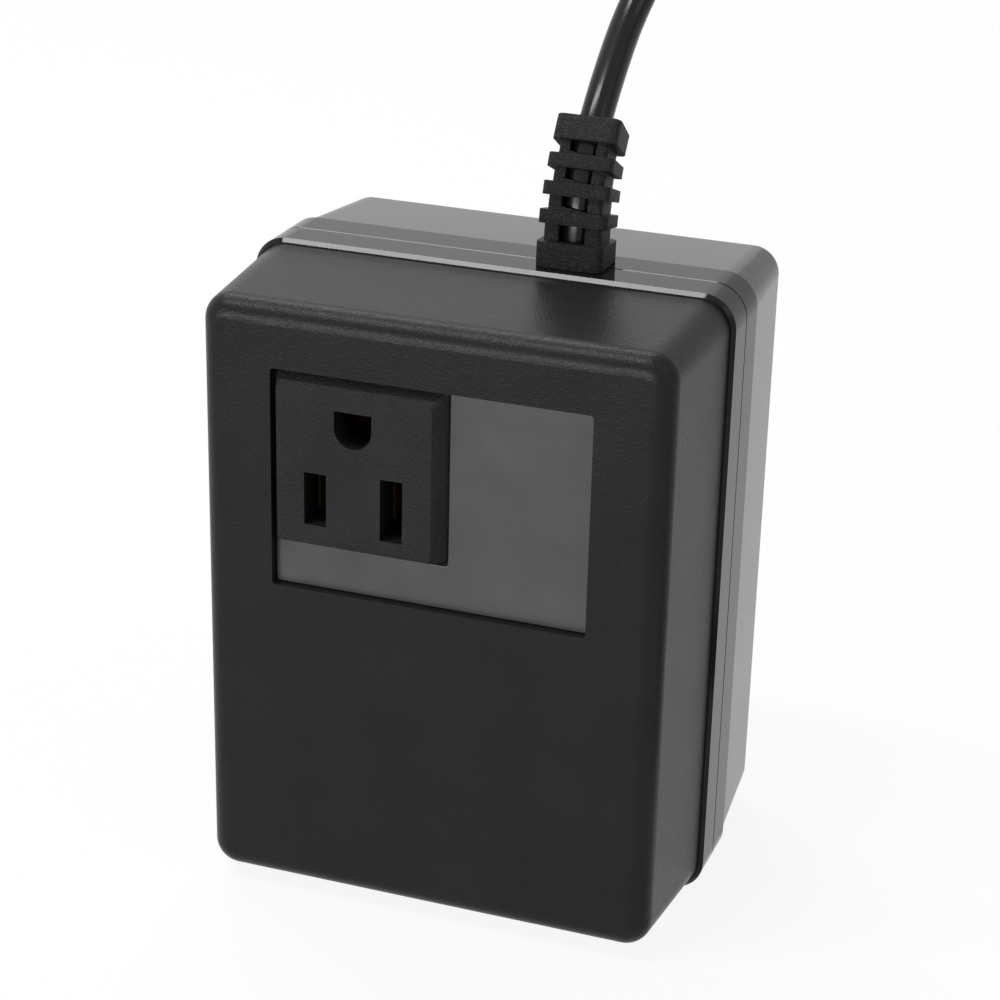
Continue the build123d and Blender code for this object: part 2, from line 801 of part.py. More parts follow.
def posts(low, height, side_wall):
    """The two posts in one gap, seated a little way into the slabs below and above."""
    post_depth = cord_diameter + 2 * post_face_wall
    with BuildSketch(relief_plane(low + height / 2)) as outline:
        RectangleRounded(cord_diameter + 2 * side_wall, post_depth, post_corner_radius)
        Rectangle(cord_diameter - 2 * window_inset, post_depth, mode=Mode.SUBTRACT)
    return extrude(outline.sketch, amount=height / 2 + post_seat, both=True)


def taper(low_value, high_value, k):
    """A value that runs from the first rib's to the cap's."""
    return low_value + (high_value - low_value) * k / rib_count


flange_top_z = case_height - rim_wall - slide_gap
base_width = cord_diameter + 2 * base_side_wall
base_depth = cord_diameter + 2 * base_face_wall
with BuildPart() as strain_relief:
    with BuildSketch(Plane.XY.offset(flange_top_z)):
        with Locations((relief_x, seam_y)):
            Rectangle(neck_width, neck_depth)
    extrude(amount=case_height + slide_gap + base_height / 2 - flange_top_z)
    with BuildSketch(Plane.XY.offset(flange_top_z)):
        with Locations((relief_x, seam_y)):
            RectangleRounded(
                neck_width + 2 * inner_flange_side,
                neck_depth + 2 * inner_flange_side,
                relief_corner_radius,
            )
    extrude(amount=-inner_flange_height)
    with BuildSketch(Plane.XY.offset(case_height + slide_gap)):
        with Locations((relief_x, seam_y)):
            RectangleRounded(base_width, base_depth, relief_corner_radius)
    extrude(amount=base_height)
    level = slide_gap + base_height
    for k in range(rib_count + 1):
        gap = rib_gap if k else base_gap
        height = rib_height if k < rib_count else cap_height
        posts(level, gap, taper(low_post_side_wall, high_post_side_wall, k))
        slab(level + gap, height, taper(rib_side_wall, cap_side_wall, k))
        level += gap + height
    # the cord's channel
    with BuildSketch(Plane(origin=relief_path @ 0, z_dir=relief_path % 0)):
        Circle(cord_diameter / 2 + slide_gap)
    sweep(path=relief_path, mode=Mode.SUBTRACT)
finish(strain_relief.part, "strain_relief")

# Wires inside the case
sheath_end = Vector(*cord_route[0])
tag_top_z = flange_levels[-1] + flange_thickness + tag_rise
core_half = core_wire_diameter / 2 + slide_gap


def wire(points, radius=core_wire_diameter / 2):
    """An insulated wire along straight runs and arcs."""
    made, _ = tube(points, 2 * radius)
    return made


cord_core_wires = [
    wire(
        [
            (sheath_end.X + side * core_half, sheath_end.Y, sheath_end.Z),
            (sheath_end.X + side * core_half, sheath_end.Y, sheath_end.Z - 4 * core_wire_diameter),
            (
                (sheath_end.X + side * core_half + side * tag_first_x) / 2,
                (sheath_end.Y + tag_y) / 2,
                (sheath_end.Z + tag_top_z) / 2 - core_wire_diameter,
            ),
            (side * tag_first_x, tag_y, tag_top_z + 4 * core_wire_diameter),
            (side * tag_first_x, tag_y, tag_top_z),
        ]
    )
    for side in (-1, 1)
]
finish(Compound(children=cord_core_wires), "cord_cores")

tail_end_y = socket_back_y - slide_gap - strip_thickness / 2 + contact_tail_length
wire_touch_z = blades_z - contact_tail_height / 2
secondary_wires = [
    wire(
        [
            (side * tag_first_x, -tag_y, tag_top_z),
            (side * tag_first_x, -tag_y, tag_top_z + 2 * core_wire_diameter),
            (tail_x, tail_end_y - core_wire_diameter, wire_touch_z - 3 * core_wire_diameter),
            (tail_x, tail_end_y - core_wire_diameter, wire_touch_z),
        ]
    )
    for side, tail_x in ((-1, hot_x), (1, neutral_x))
]
finish(Compound(children=secondary_wires), "secondary_leads")

# Thermal fuse on the primary winding's tape, its leads bent up towards the tags
fuse_z = primary_z + winding_height / 2
with BuildPart() as thermal_fuse:
    with BuildSketch(Plane.YZ.offset(-fuse_length / 2)):
        with Locations((fuse_y, fuse_z)):
            Circle(fuse_radius)
    extrude(amount=fuse_length)
    chamfer(thermal_fuse.faces().filter_by(Axis.X).edges(), fuse_lead_radius)
    with BuildSketch(Plane.YZ.offset(-fuse_length / 2 - 2 * fuse_radius)):
        with Locations((fuse_y, fuse_z)):
            Circle(fuse_lead_radius)
    extrude(amount=fuse_length + 4 * fuse_radius)
finish(thermal_fuse.part, "thermal_fuse")

# Case screws, driven in from the back
finish(
    screws(seam_y + case_screw_web, case_screw_length, case_screw_places, toward=-1),
    "case_screws",
)

# Plug: a flat two-pin plug whose ribbed tail takes the coil's end
plug_start = coil_wire @ 1
plug_axis = (coil_wire % 1).normalized()
plug_side = Vector(0, 0, 1).cross(plug_axis).normalized()
plug_plane = Plane(origin=plug_start, x_dir=plug_side, z_dir=plug_axis)
plug_front = plug_tail_length + plug_length
front_plane = plug_plane.offset(plug_front)


def plug_section(distance, width, thickness):
    """A long six-sided outline across the plug, pointed at both sides."""
    flat = width * plug_flat_share / 2
    with BuildSketch(plug_plane.offset(distance)) as outline:
        with BuildLine():
            Polyline(
                (-width / 2, 0),
                (-flat, -thickness / 2),
                (flat, -thickness / 2),
                (width / 2, 0),
                (flat, thickness / 2),
                (-flat, thickness / 2),
                close=True,
            )
        make_face()
        fillet(outline.vertices(), plug_corner_radius)
    return outline.sketch


# each pin leans inwards a little towards its tip
pin_lean = (pin_spacing - pin_tip_spacing) / 2 / pin_length
pin_planes = [
    Plane(
        origin=front_plane.from_local_coords((side * pin_spacing / 2, 0, 0)),
        x_dir=plug_plane.y_dir,
        z_dir=plug_axis - plug_side * (side * pin_lean),
    )
    for side in (-1, 1)
]

with BuildPart() as plug_body:
    loft(
        [
            plug_section(plug_tail_length, plug_neck_width, plug_neck_thickness),
            plug_section(plug_tail_length + plug_taper_length, plug_width, plug_thickness),
            plug_section(plug_front, plug_width, plug_thickness),
        ],
        ruled=True,
    )
    fillet(plug_body.faces().sort_by(Axis(plug_start, plug_axis))[-1].edges(), plug_edge_radius)
    # the tail: a core with ribs that grow towards the body
    tail_step = (plug_tail_length + plug_cord_depth) / plug_tail_ribs
    with BuildSketch(plug_plane.offset(-plug_cord_depth)):
        Circle(plug_tail_end_width / 2 - plug_tail_groove_depth)
    extrude(amount=plug_tail_length + plug_cord_depth + overrun)
    for k in range(plug_tail_ribs):
        with BuildSketch(plug_plane.offset(k * tail_step - plug_cord_depth)):
            share = k / (plug_tail_ribs - 1)
            Circle((plug_tail_end_width + (plug_tail_width - plug_tail_end_width) * share) / 2)
        extrude(amount=tail_step - plug_tail_groove)
    with BuildSketch(plug_plane):
        Circle(cord_diameter / 2 + slide_gap)
    extrude(amount=-plug_cord_depth - overrun, mode=Mode.SUBTRACT)
    with BuildSketch(front_plane):
        Rectangle(bridge_width + 2 * bridge_gap, bridge_height + 2 * bridge_gap)
    extrude(amount=-bridge_depth - bridge_gap, mode=Mode.SUBTRACT)
finish(plug_body.part, "plug_body")

with BuildPart() as plug_bridge:
    with BuildSketch(front_plane):
        Rectangle(bridge_width, bridge_height)
    extrude(amount=-bridge_depth)
    for pin_plane in pin_planes:
        with BuildSketch(pin_plane.offset(overrun)):
            Circle(pin_core_radius + screw_gap)
        extrude(amount=-pin_anchor - overrun, mode=Mode.SUBTRACT)
finish(plug_bridge.part, "plug_bridge")

with BuildPart() as plug_pins:
    for pin_plane in pin_planes:
        with BuildSketch(pin_plane.offset(-pin_anchor)):
            Circle(pin_core_radius)
        extrude(amount=pin_anchor + pin_length)
        with BuildSketch(pin_plane.offset(pin_length - pin_bare_length)):
            Circle(pin_radius)
        extrude(amount=pin_bare_length)
    for tip in plug_pins.faces().sort_by(Axis(plug_start, plug_axis))[-2:]:
        fillet(tip.edges(), pin_tip_radius)
finish(plug_pins.part, "plug_pins")

with BuildPart() as plug_pin_sleeves:
    for pin_plane in pin_planes:
        with BuildSketch(pin_plane.offset(bridge_gap)):
            Circle(pin_sleeve_radius)
            Circle(pin_core_radius + screw_gap, mode=Mode.SUBTRACT)
        extrude(amount=pin_length - pin_bare_length - bridge_gap)
finish(plug_pin_sleeves.part, "plug_pin_sleeves")
print("plug lowest", round(plug_body.part.bounding_box().min.Z, 3))
bare_length = pin_bare_length - pin_tip_radius
for pin_plane in pin_planes:
    bare_middle = pin_plane.offset(pin_length - pin_bare_length + bare_length / 2)
    print("pin", bare_middle.origin, pin_plane.z_dir, "length", round(bare_length, 3))
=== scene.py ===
"""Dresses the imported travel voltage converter: outlet, label, strain relief, cord and finishes.

Everything is in metres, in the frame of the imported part: the outlet faces -Y and +Z is up.
"""

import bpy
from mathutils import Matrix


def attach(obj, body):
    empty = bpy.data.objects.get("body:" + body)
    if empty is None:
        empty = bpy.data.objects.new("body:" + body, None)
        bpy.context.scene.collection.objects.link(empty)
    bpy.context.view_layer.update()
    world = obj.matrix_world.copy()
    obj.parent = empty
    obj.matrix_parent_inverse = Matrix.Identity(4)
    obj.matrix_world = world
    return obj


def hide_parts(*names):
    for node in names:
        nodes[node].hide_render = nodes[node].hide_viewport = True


bl_info = {
    "name": "Travel voltage converter",
    "version": (1, 0, 0),
    "blender": (4, 5, 0),
    "location": "View3D > Sidebar > Converter",
    "description": "Builds the visible travel voltage converter round its packed frame",
    "category": "Add Mesh",
}

from contextlib import contextmanager
from math import cos, pi, radians, sin

import bmesh
import bpy
from bpy.props import FloatProperty, FloatVectorProperty, IntProperty, PointerProperty
from mathutils import Matrix, Vector

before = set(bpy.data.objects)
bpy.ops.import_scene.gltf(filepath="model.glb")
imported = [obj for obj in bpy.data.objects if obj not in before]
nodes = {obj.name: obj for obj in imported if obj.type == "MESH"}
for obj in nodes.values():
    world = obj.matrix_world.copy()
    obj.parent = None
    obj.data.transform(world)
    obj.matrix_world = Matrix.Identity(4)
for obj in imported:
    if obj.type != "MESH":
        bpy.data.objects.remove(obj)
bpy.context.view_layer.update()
MM = 0.001


class CordSizes(bpy.types.PropertyGroup):
    """The free cord, from its end inside the case to the plug"""

    diameter: FloatProperty(
        name="Diameter", description="Outside of the sheath", default=5.2 * MM, unit="LENGTH"
    )
    length: FloatProperty(
        name="Length", description="Whole length of the sheath", default=0.857, unit="LENGTH"
    )
    coil_radius: FloatProperty(
        name="Coil radius",
        description="Outer edge of the coil",
        default=32.0 * MM,
        unit="LENGTH",
    )
    coil_pitch: FloatProperty(
        name="Coil pitch",
        description="From one turn to the next",
        default=6.6 * MM,
        unit="LENGTH",
    )
    points_per_half_turn: IntProperty(
        name="Points",
        description="Control points in each half turn of the coil",
        default=8,
        min=6,
    )


class ReliefSizes(bpy.types.PropertyGroup):
    """The strain relief, given as it would stand before it was bent back"""

    bend_radius: FloatProperty(
        name="Bend",
        description="Radius of its bend backwards",
        default=32.6 * MM,
        unit="LENGTH",
    )
    bend_start: FloatProperty(
        name="Bend start", description="Height above the case", default=0.66 * MM, unit="LENGTH"
    )
    window_width: FloatProperty(
        name="Window", description="Width of each window", default=4.36 * MM, unit="LENGTH"
    )
    channel_radius: FloatProperty(
        name="Channel", description="Bore round the cord", default=2.72 * MM, unit="LENGTH"
    )
    edge: FloatProperty(
        name="Edge",
        description="Softening of its moulded edges",
        default=0.14 * MM,
        unit="LENGTH",
    )


class Finishes(bpy.types.PropertyGroup):
    """Colours of the visible plastics"""

    case_colour: FloatVectorProperty(
        name="Case",
        description="Grained black plastic",
        subtype="COLOR",
        default=(0.0105, 0.0105, 0.0108),
    )
    relief_colour: FloatVectorProperty(
        name="Relief",
        description="Grained black rubber",
        subtype="COLOR",
        default=(0.006, 0.006, 0.006),
    )
    cord_colour: FloatVectorProperty(
        name="Cord",
        description="Smooth black sheath",
        subtype="COLOR",
        default=(0.005, 0.005, 0.0055),
    )
    label_colour: FloatVectorProperty(
        name="Label",
        description="Bare satin plate",
        subtype="COLOR",
        default=(0.064, 0.064, 0.066),
    )


class StageSettings(bpy.types.PropertyGroup):
    """The camera"""

    lens: FloatProperty(name="Lens", description="Focal length in millimetres", default=95.59)
    azimuth: FloatProperty(
        name="Azimuth",
        description="Camera's turn to the right of the front",
        default=radians(19.43),
        subtype="ANGLE",
    )
    elevation: FloatProperty(
        name="Elevation",
        description="Camera's height as an angle",
        default=radians(23.95),
        subtype="ANGLE",
    )
    roll: FloatProperty(
        name="Roll", description="Camera's tilt", default=radians(1.47), subtype="ANGLE"
    )
    place: FloatVectorProperty(
        name="Camera",
        description="Where the camera stands",
        subtype="TRANSLATION",
        default=(0.13516, -0.37996, 0.22977),
    )
    shift: FloatProperty(
        name="Shift", description="Vertical shift of the lens", default=0.06665
    )


# Mesh helpers


def deselect():
    """Leave nothing selected."""
    bpy.ops.object.select_all(action="DESELECT")


def activate(piece):
    """Select one piece alone and make it the active one."""
    deselect()
    piece.select_set(True)
    bpy.context.view_layer.objects.active = piece


def added(name):
    """Name the primitive that was just added."""
    piece = bpy.context.object
    piece.name = name
    piece.data.name = name
    return piece


def settle(piece):
    """Put a piece's place, turn and scale into its mesh, so its object is at the origin."""
    activate(piece)
    bpy.ops.object.transform_apply(location=True, rotation=True, scale=True)


@contextmanager
def editing(piece):
    """Edit one piece, starting with nothing selected."""
    activate(piece)
    bpy.ops.object.mode_set(mode="EDIT")
    bpy.ops.mesh.select_all(action="DESELECT")
    yield
    bpy.ops.object.mode_set(mode="OBJECT")


def pick(kind, test):
    """Select the vertices, edges or faces that pass a test, in edit mode."""
    bpy.ops.mesh.select_mode(type=kind)
    mesh = bmesh.from_edit_mesh(bpy.context.object.data)
    parts = {"VERT": mesh.verts, "EDGE": mesh.edges, "FACE": mesh.faces}[kind]
    for part in parts:
        part.select = bool(test(part))
    mesh.select_flush_mode()
    bmesh.update_edit_mesh(bpy.context.object.data)


def middle(part):
    """The middle of an edge or a face."""
    return sum((corner.co for corner in part.verts), Vector()) / len(part.verts)


def apply_modifier(piece, kind, **settings):
    """Add a modifier with these settings and apply it."""
    activate(piece)
    modifier = piece.modifiers.new(kind.lower(), kind)
    for key, value in settings.items():
        setattr(modifier, key, value)
    bpy.ops.object.modifier_apply(modifier=modifier.name)


def cut(piece, cutter):
    """Take a cutter away from a piece and delete the cutter."""
    apply_modifier(piece, "BOOLEAN", operation="DIFFERENCE", solver="EXACT", object=cutter)
    bpy.data.objects.remove(cutter)


def smooth(piece, angle=40):
    """Smooth shading, with edges sharper than an angle kept."""
    activate(piece)
    bpy.ops.object.shade_smooth_by_angle(angle=radians(angle))


def block(name, low, high):
    """A box between two corners."""
    low, high = Vector(low), Vector(high)
    bpy.ops.mesh.primitive_cube_add(size=1, location=(low + high) / 2)
    piece = added(name)
    piece.scale = high - low
    settle(piece)
    return piece


def declare(piece, slot, *replaced):
    """A finished piece of the object: it stays with the body and hides the imported parts it
    replaces; its slot is not used.
    """
    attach(piece, "root")
    if replaced:
        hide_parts(*replaced)


# Materials


def scaled(colour, factor):
    """A colour times a number."""
    return tuple(channel * factor for channel in colour)


class Value:
    """A shader socket that can stand in a sum: each operator adds one Math node."""

    def __init__(self, shader, socket):
        self.shader = shader
        self.socket = socket

    def math(self, operation, *values):
        """The result of one Math node."""
        return self.shader.node("ShaderNodeMath", {"operation": operation}, *values)

    def __add__(self, other):
        return self.math("ADD", self, other)

    def __sub__(self, other):
        return self.math("SUBTRACT", self, other)

    def __rsub__(self, other):
        return self.math("SUBTRACT", other, self)

    def __mul__(self, other):
        return self.math("MULTIPLY", self, other)

    def __gt__(self, other):
        return self.math("GREATER_THAN", self, other)

    __radd__ = __add__
    __rmul__ = __mul__


class Shader:
    """The nodes of one material, round its Principled shader."""

    def __init__(self, name, **constants):
        self.material = bpy.data.materials.new(name)
        self.material.use_nodes = True
        self.tree = self.material.node_tree
        self.surface = self.tree.nodes["Principled BSDF"]
        self.set(**constants)
        self.place = self.node("ShaderNodeTexCoord", {}, output="Object")

    def node(self, kind, settings, *values, output=0, **named):
        """Add a node: its settings first, then its sockets in order or by name."""
        made = self.tree.nodes.new(kind)
        for key, value in settings.items():
            setattr(made, key, value)
        for index, value in enumerate(values):
            self.feed(made.inputs[index], value)
        for key, value in named.items():
            self.feed(made.inputs[key.replace("_", " ")], value)
        return Value(self, made.outputs[output])

    def feed(self, socket, value):
        """Link a value, or set a constant."""
        if isinstance(value, Value):
            self.tree.links.new(value.socket, socket)
        elif isinstance(value, (tuple, list)) and len(value) == 3 and socket.type == "RGBA":
            socket.default_value = (*value, 1)
        else:
            socket.default_value = value

    def set(self, **sockets):
        """Feed the Principled shader's own sockets."""
        for key, value in sockets.items():
            self.feed(self.surface.inputs[key.replace("_", " ")], value)

    def noise(self, scale, detail=2, roughness=0.5):
        """Fine noise on the piece's own place, from 0 to 1."""
        return self.node(
            "ShaderNodeTexNoise", {}, output="Fac",
            Vector=self.place, Scale=scale, Detail=detail, Roughness=roughness,
        )

    def shades(self, factor, colour, dark, pale):
        """Blend a darker and a paler shade of a colour, each given as its share of it."""
        made = self.tree.nodes.new("ShaderNodeMix")
        made.data_type = "RGBA"
        blend = ((0, factor), (6, scaled(colour, dark)), (7, scaled(colour, pale)))
        for index, value in blend:
            self.feed(made.inputs[index], value)
        return Value(self, made.outputs[2])

    def bump(self, height, strength, distance):
        """Feed the surface's normal with a height, in metres for a strength of 1."""
        normal = self.node(
            "ShaderNodeBump", {}, Strength=strength, Distance=distance, Height=height
        )
        self.set(Normal=normal)


# How strongly the moulded black plastics mirror, how rough their polished faces are, and how
# much of the grain is polished away there
MOULDED_SPECULAR = 0.12
POLISHED_ROUGHNESS = 0.14
POLISHED_AWAY = 0.93
# Scales of the noise, in waves per metre
CLOUD_SCALE = 90
GRAIN_SCALE = 2600
RUBBER_GRAIN_SCALE = 3000
SHEATH_WAVE_SCALE = 140
FILM_CLOUD_SCALE = 70
BRUSHING_SCALE = 3200
METAL_SCALE = 900
VARNISH_SCALE = 700
# The part of the grain's noise that counts as a crest, and how much paler speckle makes it
CREST_RANGE = (0.5, 0.75)
SPECKLE_GAIN = 6


def moulded_plastic(
    name,
    colour,
    roughness,
    grain=GRAIN_SCALE,
    grain_depth=0.07 * MM,
    polished_y=None,
    speckle=0.0,
):
    """Black plastic from a spark-eroded mould, with fine grain and faint cloudiness.

    Where a depth is given, all that lies behind it is polished. Speckle makes crests paler."""
    shader = Shader(name, Specular_IOR_Level=MOULDED_SPECULAR)
    fine = shader.noise(grain, detail=3, roughness=0.6)
    cloud = shader.noise(CLOUD_SCALE)
    low, high = CREST_RANGE
    crests = shader.node("ShaderNodeMapRange", {}, fine, From_Min=low, From_Max=high)
    if polished_y is not None:
        depth = shader.node("ShaderNodeSeparateXYZ", {}, shader.place, output="Y")
        polished = depth > polished_y
        roughness = roughness - polished * (roughness - POLISHED_ROUGHNESS)
        fine = fine * (1 - polished * POLISHED_AWAY)
    blotches = cloud * (1 - speckle) + crests * speckle
    shader.set(
        Base_Color=shader.shades(blotches, colour, 0.85, 1.2 + SPECKLE_GAIN * speckle),
        Roughness=roughness + (cloud - 0.5) * 0.08 + (fine - 0.5) * 0.1,
    )
    shader.bump(fine, 1.0, grain_depth)
    return shader.material


def smooth_plastic(name, colour, roughness, **constants):
    """Smooth plastic or rubber with a faint unevenness."""
    shader = Shader(name, **constants)
    wave = shader.noise(SHEATH_WAVE_SCALE)
    shader.set(
        Base_Color=shader.shades(wave, colour, 0.9, 1.15),
        Roughness=roughness + (wave - 0.5) * 0.06,
    )
    shader.bump(wave, 0.3, 0.05 * MM)
    return shader.material


def satin_plate(name, colour):
    """A thin plate with a dark metallic film: cloudy sheen and fine brushing."""
    shader = Shader(name, Metallic=0.55, Specular_IOR_Level=0.4)
    cloud = shader.noise(FILM_CLOUD_SCALE, detail=3, roughness=0.6)
    fine = shader.noise(BRUSHING_SCALE)
    shader.set(
        Base_Color=shader.shades(cloud, colour, 0.75, 1.3),
        Roughness=0.3 + (cloud - 0.5) * 0.12,
    )
    shader.bump(fine * 0.3 + cloud, 0.5, 0.06 * MM)
    return shader.material


def worked_metal(name, colour, roughness):
    """Plated or stamped metal with a fine unevenness."""
    shader = Shader(name, Metallic=1.0)
    streak = shader.noise(METAL_SCALE, detail=4, roughness=0.7)
    shader.set(
        Base_Color=shader.shades(streak, colour, 0.88, 1.05),
        Roughness=roughness + (streak - 0.5) * 0.15,
    )
    shader.bump(streak, 0.2, 0.02 * MM)
    return shader.material


def striped(name, colour, axis, pitch, metallic, roughness, depth):
    """Sheets or turns that lie side by side along an axis, each a rounded ridge."""
    shader = Shader(name, Metallic=metallic)
    apart = shader.node("ShaderNodeSeparateXYZ", {}, shader.place, output=axis)
    ridge = apart.math("PINGPONG", apart, pitch / 2) * (2 / pitch)
    varnish = shader.noise(VARNISH_SCALE)
    shader.set(
        Base_Color=shader.shades(ridge * 0.6 + varnish * 0.4, colour, 0.55, 1.1),
        Roughness=roughness + (varnish - 0.5) * 0.1,
    )
    shader.bump(ridge, 0.8, depth)
    return shader.material


def paint(material, *pieces):
    """Give pieces one material."""
    for piece in pieces:
        piece.data.materials.clear()
        piece.data.materials.append(material)


# The stage: the camera's sensor in millimetres, the floor, its share of plain white where it is
# seen or mirrored, and the world's level where it isn't
SENSOR_WIDTH = 36
FLOOR_SIZE = 8.0
FLOOR_COLOUR = (0.85, 0.85, 0.85)
FLOOR_GLOW = 0.9
WORLD_LEVEL = 0.25
SEEN_BY = ("Is Camera Ray", "Is Glossy Ray", "Is Transmission Ray")
# Each lamp's place, width, height and power. The first three show as lines on the case's edges,
# the next one evens the light from behind and the last one fills the right side
LAMPS = [
    ("overhead_strip", (-0.454, -0.42, 1.36), 0.7, 0.12, 10.0),
    ("overhead_softbox", (-0.454, 0.571, 1.294), 0.9, 0.3, 9.5),
    ("front_strip", (-0.50, -1.60, 0.22), 1.2, 0.2, 18.0),
    ("back_softbox", (-0.50, 1.40, 0.72), 1.0, 1.0, 1.0),
    ("side_softbox", (1.10, -0.40, 0.90), 0.6, 0.6, 1.4),
]
LAMP_AIM = Vector((0, 0, 60 * MM))


class CONVERTER_OT_stage(bpy.types.Operator):
    """White floor, white surroundings, soft lamps and the camera at the photograph's angle"""

    bl_idname = "converter.stage"
    bl_label = "Stage"

    def execute(self, context):
        settings = context.scene.converter_stage
        context.scene.view_settings.view_transform = "Standard"
        self.camera(context, settings)
        self.floor()
        self.surroundings(context)
        for name, place, width, height, power in LAMPS:
            self.lamp(name, place, width, height, power)
        return {"FINISHED"}

    def camera(self, context, settings):
        """The camera at the photograph's angle."""
        bpy.ops.object.camera_add(location=settings.place)
        camera = added("camera")
        turned = (
            Matrix.Rotation(settings.azimuth, 4, "Z")
            @ Matrix.Rotation(pi / 2 - settings.elevation, 4, "X")
            @ Matrix.Rotation(settings.roll, 4, "Z")
        )
        camera.rotation_euler = turned.to_euler()
        camera.data.lens = settings.lens
        camera.data.sensor_width = SENSOR_WIDTH
        camera.data.sensor_fit = "HORIZONTAL"
        camera.data.shift_y = settings.shift
        camera.data.clip_start = 10 * MM
        context.scene.camera = camera

    def floor(self):
        """A pale floor that is white to the eye and keeps the object's shadow."""
        bpy.ops.mesh.primitive_plane_add(size=FLOOR_SIZE)
        floor = added("floor")
        shader = Shader("floor_white", Base_Color=FLOOR_COLOUR, Roughness=0.9)
        glow = shader.node("ShaderNodeEmission", {}, Color=(1, 1, 1), Strength=1.0)
        factor = self.seen(shader) * FLOOR_GLOW
        lit = Value(shader, shader.surface.outputs[0])
        mixed = shader.node("ShaderNodeMixShader", {}, factor, lit, glow)
        output = shader.tree.nodes["Material Output"]
        shader.tree.links.new(mixed.socket, output.inputs["Surface"])
        paint(shader.material, floor)

    def surroundings(self, context):
        """A world that is white to the eye and dimmer as a light."""
        world = bpy.data.worlds.new("surroundings")
        context.scene.world = world
        world.use_nodes = True
        tree = world.node_tree
        background = tree.nodes["Background"]
        background.inputs["Color"].default_value = (1, 1, 1, 1)
        rays = tree.nodes.new("ShaderNodeLightPath")
        seen = rays.outputs[SEEN_BY[0]]
        for ray in SEEN_BY[1:]:
            larger = tree.nodes.new("ShaderNodeMath")
            larger.operation = "MAXIMUM"
            tree.links.new(seen, larger.inputs[0])
            tree.links.new(rays.outputs[ray], larger.inputs[1])
            seen = larger.outputs[0]
        level = tree.nodes.new("ShaderNodeMapRange")
        level.inputs["To Min"].default_value = WORLD_LEVEL
        level.inputs["To Max"].default_value = 1.0
        tree.links.new(seen, level.inputs["Value"])
        tree.links.new(level.outputs["Result"], background.inputs["Strength"])

    def seen(self, shader):
        """1 for the camera's, glossy and transmission rays, and 0 for the rest."""
        seen, *others = [shader.node("ShaderNodeLightPath", {}, output=ray) for ray in SEEN_BY]
        for ray in others:
            seen = seen.math("MAXIMUM", seen, ray)
        return seen

    def lamp(self, name, place, width, height, power):
        """A rectangular lamp that looks at the case, its width level."""
        bpy.ops.object.light_add(type="AREA", location=place)
        lamp = added(name)
        lamp.visible_camera = False
        lamp.data.shape = "RECTANGLE"
        lamp.data.size = width
        lamp.data.size_y = height
        lamp.data.energy = power
        back = (Vector(place) - LAMP_AIM).normalized()
        across = (Vector((1, 0, 0)) - back * back.x).normalized()
        turned = Matrix((across, back.cross(across), back)).transposed()
        lamp.rotation_euler = turned.to_euler()


# The cord's route in metres, as the part has it: from the sheath's end inside the case, up
# through the strain relief, over to the side and down to the coil
CORD_ROUTE = [
    (0.0121, 0.0009, 0.09677),
    (0.0121, 0.0009, 0.11184),
    (0.0121, 0.00691, 0.12566),
    (0.0126, 0.0298, 0.1451),
    (0.0286, 0.0346, 0.1684),
    (0.0535, 0.0344, 0.1778),
    (0.0778, 0.0338, 0.1670),
    (0.0870, 0.0330, 0.1400),
    (0.0884, 0.0323, 0.1080),
    (0.0879, 0.0325, 0.0770),
    (0.0880, 0.0328, 0.0480),
    (0.0882, 0.0323, 0.0250),
    (0.0959, 0.0320, 0.0109),
    (0.1100, 0.0320, 0.0026),
    (0.1264, 0.0320, 0.0026),
]
# The coil: its straight start, the climb to its upper layer, its half turns inwards below and
# outwards above, its last part of a turn in degrees, and the straight run to the plug
COIL_START_RUN = 5.4 * MM
COIL_LAYER_STEP = 6.6 * MM
COIL_HALF_TURNS_IN = 3
COIL_HALF_TURNS_OUT = 2
COIL_LAST_TURN = 30
COIL_END_RUN = 23 * MM
# The plug with its tail, which lies on the floor
PLUG_REACH = 48 * MM
PLUG_THICKNESS = 13.7 * MM
FLOOR_GAP = 0.02 * MM


